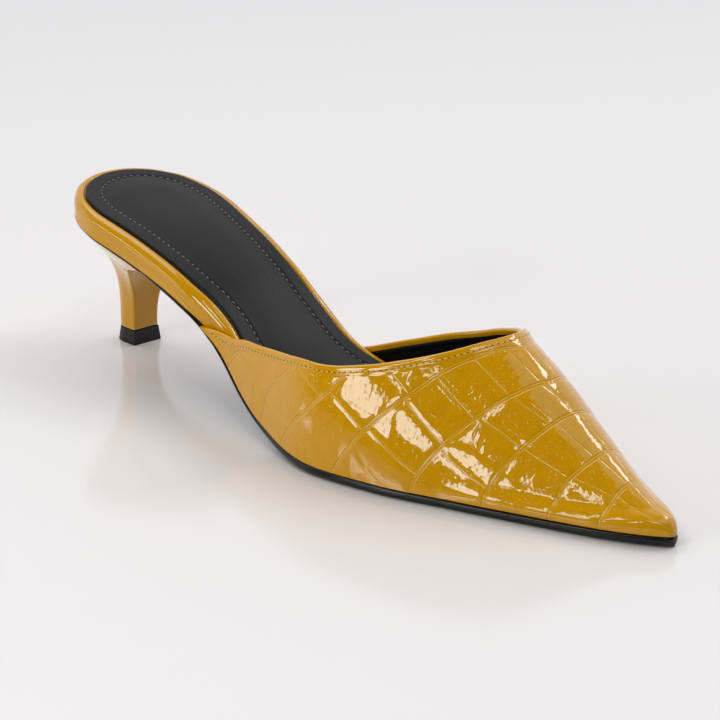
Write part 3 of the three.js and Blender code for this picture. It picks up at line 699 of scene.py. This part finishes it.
# %% Lining
lining_distance = mix((ROLL_REACH + 1.0) * EDGE_SHARE, rib_length[:, None] - 0.3 * EDGE_SHARE, np.linspace(0, 1, 60))
lining_outside = mix(WALL - 0.28, 1.02, smooth(lining_distance, 1.0, 4.0))
lining_inside = lining_outside + 0.5 * smooth(lining_distance - lining_distance[:, :1], 0, 0.8)
groove = 0.12 * np.exp(-((lining_distance / np.maximum(EDGE_SHARE, 0.02) - 4.2) / 0.5) ** 2)
lining_points = wall(np.hstack([lining_distance, lining_distance[:, ::-1]]),
                     np.hstack([lining_outside, (lining_inside - groove)[:, ::-1]]))
lining = skin("vamp_lining", lining_points, (False, True))

# %% Stitches
def stitches(name, path, outward, length, gap, radius, sunk=0.3, shift=0.0):
    """A row of stitches along a path of points with outward normals. A stitch's radius falls off to its
    ends as the fourth root of 1 - a^4, and its ends dip by sunk of its radius. shift moves the row by
    that share of a stitch, which puts the dark needle holes between two stitches."""
    travelled = np.concatenate([[0], np.cumsum(np.linalg.norm(np.diff(path, axis=0), axis=1))])
    count = int(travelled[-1] / (length + gap))
    middle = (np.arange(count) + 0.5 + shift) * travelled[-1] / count
    at = lambda distances, values: np.stack([np.interp(distances, travelled, values[:, k]) for k in range(3)], -1)
    centre = at(middle, path)
    tangent = at(middle + 0.3, path) - at(middle - 0.3, path)
    tangent /= np.linalg.norm(tangent, axis=1, keepdims=True)
    normal = at(middle, outward)
    normal -= (normal * tangent).sum(1, keepdims=True) * tangent
    normal /= np.linalg.norm(normal, axis=1, keepdims=True)
    side = np.cross(tangent, normal)
    a = np.linspace(-1, 1, 7)[:, None]
    b = np.linspace(0, 2 * np.pi, 7)[None, :-1]
    thick = (1 - a ** 4) ** 0.25 * radius
    local = np.stack([a * length / 2 + 0 * b, thick * np.cos(b), thick * np.sin(b) - sunk * radius * a ** 2], -1)
    axes = np.stack([tangent, side, normal], 1)
    points = centre[:, None, None] + np.einsum("abk,skc->sabc", local, axes)
    number = np.arange(7 * 6).reshape(7, 6)
    number = np.hstack([number, number[:, :1]])
    quads = np.stack([number[:-1, :-1], number[1:, :-1], number[1:, 1:], number[:-1, 1:]], -1).reshape(-1, 4)
    all_quads = (quads[None] + 42 * np.arange(count)[:, None, None]).reshape(-1, 4)
    print(name, count, "stitches")
    return piece_of(name, points.reshape(-1, 3), all_quads, crease=180)


def topline_path(distance, depth):
    """A path along the vamp at a distance from its topline, with the normals that point out of it."""
    scaled = distance * EDGE_SHARE
    x, turn = fan(down_at(scaled))
    normal = last_normal(x, turn)
    keep = EDGE_SHARE[:, 0] > 0.35
    return (last_point(x, turn) - normal * depth)[keep, 0], normal[keep, 0]


def grained(name, tones, per_metre, detail, depth, strength, roughness, ior=1.5):
    """A plain stuff whose noise gives it both its two tones and its grain. per_metre is how fine the
    grain is along x, y and z, and depth is its height in metres."""
    material, tree, output = new_material(name)
    specks = grain(tree, add(tree, "ShaderNodeTexCoord").outputs["Object"], per_metre, detail)
    bump = add(tree, "ShaderNodeBump", {"Height": specks, "Distance": depth, "Strength": strength}).outputs[0]
    sockets = {"Base Color": two_tones(tree, specks, *tones), "Roughness": roughness, "IOR": ior, "Normal": bump}
    tree.links.new(add(tree, "ShaderNodeBsdfPrincipled", sockets).outputs[0], output.inputs[0])
    return material


# Bonded nylon shines softly; its strands, a third of a millimetre across, are its grain.
STRANDS = (3000.0, 3000.0, 3000.0)
thread_gold = grained("bonded_nylon_thread_gold", ("#C9A24A", "#E8CF93"), STRANDS, 2.0, 0.00005, 1.0, 0.45)
thread_grey = grained("bonded_nylon_thread_grey", ("#59595C", "#85858A"), STRANDS, 2.0, 0.00005, 1.0, 0.55)

# Painted shade: dark brown, matt spots are set between the stitches where the needle holes lie.
needle_hole_shade, tree, output = new_material("painted_needle_hole_shade")
shader = add(tree, "ShaderNodeBsdfPrincipled", {"Base Color": linear("#3B2A0C"), "Roughness": 0.8, "IOR": 1.4})
tree.links.new(shader.outputs[0], output.inputs[0])
path, outward = topline_path(STITCH_ROW, -(ROLL_HEIGHT - 0.12))
topline_stitches = stitches("topline_stitches", path, outward, 1.05, 0.85, 0.2)
dress(topline_stitches, thread_gold, "patent_croc", "upper")
topline_holes = stitches("topline_needle_holes", path - 0.1 * outward, outward, 0.75, 1.15, 0.2, 0.0, 0.5)
dress(topline_holes, needle_hole_shade, "patent_croc", "upper")
path, outward = topline_path(4.2, 1.55)
lining_stitches = stitches("lining_stitches", path, -outward, 1.5, 0.9, 0.18)

# %% [markdown]
# ## Black leathers
# Lining and sock are fine-grained calf, dyed through and finished matt, so the eye sees a soft grey
# sheen and a grain of small cells, a little over half a millimetre across.

# %% Calf for lining and sock
def calf(name, colours, roughness, cell_mm, shine):
    """Fine-grained matt leather: cells of a Voronoi pattern as its grain, and slow changes of tone."""
    material, tree, output = new_material(name)
    where = add(tree, "ShaderNodeTexCoord").outputs["Object"]
    sockets = {"Vector": where, "Scale": 1000 / cell_mm}
    cells = add(tree, "ShaderNodeTexVoronoi", sockets, feature="SMOOTH_F1").outputs["Distance"]
    tone = two_tones(tree, grain(tree, where, (60.0, 60.0, 60.0), 3.0), *colours)
    bump = add(tree, "ShaderNodeBump", {"Height": cells, "Distance": 0.00006, "Strength": 0.8}).outputs[0]
    sockets = {"Base Color": tone, "Roughness": roughness, "IOR": 1.45, "Specular IOR Level": shine, "Normal": bump}
    tree.links.new(add(tree, "ShaderNodeBsdfPrincipled", sockets).outputs[0], output.inputs[0])
    return material


lining_calf = calf("lining_calf_black", ("#060607", "#0C0C0D"), 0.5, 0.7, 0.2)
sock_calf = calf("sock_calf_matt_black", ("#161415", "#1C1A1B"), 0.46, 0.6, 0.18)
dress(lining, lining_calf, "sock_leather", "upper")
dress(lining_stitches, lining_calf, "sock_leather", "upper")

# %% [markdown]
# ## Smooth patent
# The board's edge and the heel are covered in the same hide, not pressed. Stretched over a hard form
# it shows no wrinkles, only the faint unevenness of the hide below, centimetres across.

# %% Patent without plates
patent_smooth, tree, output = new_material("smooth_mustard_patent_leather")
where = add(tree, "ShaderNodeTexCoord").outputs["Object"]
swell = grain(tree, where, (120.0, 120.0, 120.0), 2.0)
bump = add(tree, "ShaderNodeBump", {"Height": swell, "Distance": 0.00025, "Strength": 0.6}).outputs[0]
lacquer(tree, output, two_tones(tree, swell, "#CA8F05", "#D1960A"), bump)

# %% [markdown]
# ## Covered board
# The insole board with its shank and foam is wrapped in patent, and its edge is the yellow rim round
# the seat. The rim is a profile carried round the plan: up the side, over a tight roll, along a nearly
# level top and down to the sock. The roll is what draws the hard white line round the shoe.

# %% Board
BOARD_END, BOARD_NOSE, BOARD_EDGE, BOARD_FRONT = 246.0, 16.0, 7.6, 2.2
board_thickness = curve_through(np.array([0, .48, .63, 1]) * LENGTH,
                                [BOARD_EDGE, BOARD_EDGE, BOARD_FRONT, BOARD_FRONT])


def board_top(x):
    """Height of the rim."""
    return feather(x) + board_thickness(x)


def board_plan(side, x, inset, end, nose):
    """Plan of the board, inset mm inwards: the feather line, less the vamp's wall, with a rounded front."""
    px, py = plan(side, x[:, None], inset + WALL_ROOM * under_wing(side, x[:, None]))
    py = side * np.maximum(side * py, 0)
    past = np.clip((px - end + nose) / nose, 0, 1)
    return np.minimum(px, end), py * np.sqrt(1 - past ** 2)


def lay(side_points):
    """Joins the two sides of each station into one ring."""
    little, big = side_points
    return np.concatenate([little, big[:, ::-1]], axis=1)


STATIONS = LENGTH / 2 * (1 - np.cos(np.linspace(0, np.pi, 261)))
roll_turn = np.linspace(0.1, np.pi / 2, 14)
rim_profile = np.array(  # inset, height over the underside (as a share of the edge), height under the top in mm
    [[6, 0, 0], [0.6, 0, 0], [0.1, .005, 0], [-0.1, .025, 0], [-0.16, .05, 0], [-0.13, .08, 0],
     [-0.04, .13, 0], [0, .19, 0], [0, .3, 0], [0, .42, 0], [0.02, .52, 0]]
    + [[0.02 + 2.5 * (1 - math.cos(t)), 1, -3.1 * (1 - math.sin(t))] for t in roll_turn]
    + [[2.85, 1, -0.03], [3.1, 1, -0.12], [3.3, 1, -0.3], [3.4, 1, -0.5], [3.5, 1, -0.72], [6, 1, -0.72]])
xs = STATIONS[STATIONS < BOARD_END]
sides = []
for side in (-1, 1):
    px, py = board_plan(side, xs, rim_profile[:, 0], BOARD_END, BOARD_NOSE)
    room = np.minimum(board_thickness(px) / BOARD_EDGE, 1)
    pz = feather(px) - 0.25 + rim_profile[:, 1] * (board_thickness(px) + 0.25) + rim_profile[:, 2] * room
    sides.append(np.stack([px, py, pz], -1))
board = skin("covered_board_patent", lay(sides), (False, True), crease=50)
dress(board, patent_smooth, "patent_smooth", "covered_board")

# %% [markdown]
# ## Sock
# The sock is black calf over a thin foam. A row of grey stitches runs six millimetres inside its edge
# and holds the foam down; inside the row the pad rises softly, and outside it lies flat. The height
# depends on the distance from the edge alone. Rings that follow the edge carry the margin and the valley,
# and from the last ring straight rays run to a spine along the middle.

# %% Sock
SOCK_END, SOCK_NOSE, SOCK_INSET, SOCK_EDGE, STITCH_IN, CROWN = 228.0, 20.0, 3.8, 1.1, 5.6, 0.85


def sock_height(inside):
    """Height over the sock's underside at a distance inside its edge: a rounded edge, a flat margin, the
    valley of the stitches, and past it a crown that goes as 1 - exp(-(distance / 5)^1.6)."""
    edge = SOCK_EDGE * np.sqrt(1 - (1 - np.clip(inside / 0.8, 0, 1)) ** 2)
    valley = 0.32 * np.exp(-((inside - STITCH_IN) / 0.6) ** 2)
    return edge - valley + CROWN * (1 - np.exp(-(np.maximum(inside - STITCH_IN, 0) / 6) ** 1.8))


def sock_base(x):
    """Height of the sock's underside, in the well of the board."""
    return board_top(x) - 0.7 + 0.3


inside = np.concatenate([np.linspace(0, 0.8, 6), np.linspace(1.2, 4.2, 5), np.linspace(4.5, 7.6, 16)])
xs = STATIONS[(STATIONS < SOCK_END)]
rings = [board_plan(side, xs, SOCK_INSET + inside, SOCK_END, SOCK_NOSE) for side in (-1, 1)]
fullness = mix(1, 0.35, smooth(xs[:, None], 185, SOCK_END))
centre_y = (rings[0][1][:, :1] + rings[1][1][:, :1]) / 2
spine_x = 27 + 3 * np.log1p(np.exp(((rings[0][0][:, -1:] + rings[1][0][:, -1:]) / 2 - 27) / 3))
spine_x = np.minimum(spine_x, SOCK_END)
spine_y = (HALF[1](angle_of(spine_x)) - HALF[-1](angle_of(spine_x))) / 2
spine_y = mix(spine_y, centre_y, smooth(spine_x, 60, 110))
sides = []
for (px, py), side in zip(rings, (-1, 1)):
    py = np.where(side * (py - centre_y) < 0, centre_y, py)
    t = np.linspace(0, 1, 17)[1:]
    inner_x, inner_y = mix(px[:, -1:], spine_x, t), mix(py[:, -1:], spine_y, t)
    far = inside[-1] + t * np.hypot(spine_x - px[:, -1:], spine_y - py[:, -1:])
    px, py = np.hstack([px, inner_x]), np.hstack([py, inner_y])
    depth_in = np.hstack([inside + 0 * px[:, :len(inside)], far])
    sides.append(np.stack([px, py, sock_base(px) + sock_height(depth_in) * fullness], -1))
top = np.concatenate([sides[0], sides[1][:, ::-1]], axis=1)
under = np.stack([top[..., 0], top[..., 1], sock_base(top[..., 0]) - 0.02], -1)[:, ::-1][:, ::4]
sock = skin("sock_pad", np.concatenate([top, under], axis=1), (False, True), crease=60)
dress(sock, sock_calf, "sock_leather", "sock")

# %% Stitches of the sock
STITCHES_END = 200.0
stitch_x = LENGTH / 2 * (1 - np.cos(np.linspace(0, 0.86 * np.pi, 700)))
paths = []
for side in (-1, 1):
    px, py = board_plan(side, stitch_x, np.array([SOCK_INSET + STITCH_IN]), SOCK_END, SOCK_NOSE)
    thread_height = sock_base(px) + sock_height(STITCH_IN) + 0.2
    paths.append(np.hstack([px, py, thread_height])[px[:, 0] < STITCHES_END])
path = np.concatenate([paths[0][::-1], paths[1][1:]])
fall = board_top(path[:, 0] - 0.5) - board_top(path[:, 0] + 0.5)
outward = np.stack([fall, 0 * fall, 1 + 0 * fall], -1)
sock_stitches = stitches("sock_stitches", path, outward, 1.5, 1.1, 0.22)
dress(sock_stitches, thread_grey, "sock_leather", "sock")

# %% [markdown]
# ## Outsole
# A thin black sole sheet. Its edge is trimmed round, drawn in at the foot, waxed and burnished, so that
# one thin line of light runs along its upper third. Thin under the seat, where it is set back a little,
# it grows thicker towards the tread.

# %% Outsole
sole_thickness = curve_through(np.array([0, .14, .26, .42, .57, 1]) * LENGTH, [.55, .7, 1.4, 1.4, 2.8, 2.8])
sole_profile = np.array([  # inset in mm, share of the thickness
    [8, 1], [0.1, 1], [-.12, .98], [-.25, .93], [-.34, .86], [-.4, .76], [-.4, .6], [-.36, .45], [-.2, .28],
    [.1, .14], [.5, .04], [1, 0], [8, 0]])
sides = []
for side in (-1, 1):
    inset = sole_profile[:, 0] + 0.75 * (1 - smooth(STATIONS, 45, 75))[:, None]
    px, py = plan(side, STATIONS[:, None], inset * np.minimum(1, 0.02 + 0.5 * HALF[side](angle_of(STATIONS))[:, None]))
    py = side * np.maximum(side * py, 0)
    pz = feather(px) - 0.3 - (1 - sole_profile[:, 1]) * sole_thickness(px)
    sides.append(np.stack([px, py, pz], -1))
sole = skin("outsole_sheet", lay(sides), (False, True), crease=35)

# The iron lays the fibres of the board flat, so its grain is finer upwards than along the edge.
FIBRES = (900.0, 900.0, 2500.0)
sole_wax = grained("burnished_black_sole_leather", ("#060607", "#0C0C0D"), FIBRES, 3.0, 0.00004, 0.7, 0.22, 1.42)
dress(sole, sole_wax, "outsole", "outsole")

# %% [markdown]
# ## Heel
# A moulded core wrapped in patent. Seen from above each level is a D: a round back and sides, and a
# breast across the front. From its foot, the size of the heel tip, the heel flares up to the seat, where
# its wings reach forwards under the edges of the sole. The leather turns round the two front edges in a
# small radius, which catches the light.

# %% Heel
HEEL_SEAT, HEEL_ARCH, TIP_BACK, TIP_LENGTH, TIP_WIDTH, TIP_HEIGHT = 53.0, 36.0, 8.7, 12.8, 11.7, 5.2
FLARE = np.array([  # level, then how far width, wing, back and breast have gone from the tip's size to the seat's
    [0, 0, 0, 0, 0], [.15, 0, .01, 0, .02], [.3, .02, .03, 0, .05], [.45, .08, .07, .06, .13],
    [.6, .21, .15, .22, .27], [.75, .42, .3, .48, .48], [.88, .7, .56, .77, .74], [1, 1, 1, 1, 1]])
spread, sweep, back_flare, breast_flare = [curve_through(FLARE[:, 0], FLARE[:, k]) for k in (1, 2, 3, 4)]
CORNER_RADIUS = 1.3


def seat_under(x):
    """Underside of the sole, where the heel's leather meets it."""
    return feather(x) - 0.3 - sole_thickness(x) - 0.04


def seat_share(side, share):
    """Half of the seat's plan, from the back (0) to the front of the wings (1), as shares."""
    return HALF[side](angle_of(share * 52.7)) / HALF[side](angle_of(52.7))


def heel_side(side, up, share):
    """Point of the heel's flank at a level and a share from back to front."""
    half = mix(TIP_WIDTH / 2 - 0.5, HALF[side](angle_of(HEEL_SEAT)) - 0.3, spread(up))
    x = mix(mix(TIP_BACK + 1.1, 0.3, back_flare(up)), mix(TIP_BACK + TIP_LENGTH - 0.5, HEEL_SEAT, sweep(up)), share)
    z = mix(TIP_HEIGHT + 0.3, seat_under(mix(0.3, HEEL_SEAT, share)), up)
    return np.stack([x, side * half * seat_share(side, share), z], -1)


def heel_breast(side, up, share):
    """Point of the breast, from its middle (0) to the corner (1); it bends forwards with the share squared."""
    corner = heel_side(side, up, np.ones_like(share))
    x = mix(mix(TIP_BACK + TIP_LENGTH - 0.5, HEEL_ARCH, breast_flare(up)), corner[..., 0], share ** 2)
    z = mix(TIP_HEIGHT + 0.3, seat_under(mix(HEEL_ARCH, HEEL_SEAT, share ** 2)), up)
    return np.stack([x, corner[..., 1] * share, z], -1)


def heel_half(side, up):
    """One half of every level: flank, rounded corner (a Bezier arc pulled to the sharp corner), breast."""
    depth = heel_side(side, up, np.ones_like(up))[..., 0] - heel_side(side, up, np.zeros_like(up))[..., 0]
    half = np.abs(heel_side(side, up, np.ones_like(up))[..., 1])
    last_share, last_breast = 1 - CORNER_RADIUS / depth, 1 - CORNER_RADIUS / half
    flank = heel_side(side, up, last_share * np.sin(np.linspace(0, np.pi / 2, 44)) ** 1.6)
    breast = heel_breast(side, up, last_breast * np.linspace(1, 0, 18))
    corner = heel_side(side, up, np.ones_like(up))
    t = np.linspace(0, 1, 9)[1:-1][None, :, None]
    arc = (1 - t) ** 2 * flank[:, -1:] + 2 * t * (1 - t) * corner + t ** 2 * breast[:, :1]
    return np.concatenate([flank, arc, breast], axis=1)


up = (np.linspace(0, 1, 70) ** 0.9)[:, None]
heel = skin("heel_patent", lay([heel_half(-1, up), heel_half(1, up)]), (False, True), crease=50)
dress(heel, patent_smooth, "patent_smooth", "heel")

# %% [markdown]
# ## Heel tip
# The block that the heel stands on is moulded polyurethane rubber, dark and matt, with trimmed edges.
# It widens a little to the floor, most at the back.

# %% Heel tip
share = np.sin(np.linspace(0, np.pi / 2, 40)) ** 1.6
levels = np.array([  # height, narrower by, shorter at the back by
    [0, .25, .25], [.06, .08, .08], [.25, 0, 0], [TIP_HEIGHT - 0.3, .47, 1.04],
    [TIP_HEIGHT - 0.08, .55, 1.12], [TIP_HEIGHT, .75, 1.35]])
sides = []
for side in (-1, 1):
    x = mix(TIP_BACK + levels[:, 2:], TIP_BACK + TIP_LENGTH - levels[:, 1:2], share[None])
    y = side * (TIP_WIDTH / 2 - levels[:, 1:2]) * seat_share(-1, share)[None]
    sides.append(np.stack([x, y, levels[:, :1] + 0 * x], -1))
tip = skin("heel_tip_rubber", lay(sides), (False, True), crease=40)

# The mould is lightly blasted, which leaves specks half a millimetre across.
SPECKS = (1800.0, 1800.0, 1800.0)
rubber_tones = ("#060606", "#0D0D0D")
rubber = grained("moulded_black_polyurethane_rubber", rubber_tones, SPECKS, 2.0, 0.00004, 0.6, 0.48, 1.42)
dress(tip, rubber, "heel_tip_rubber", "heel_tip")
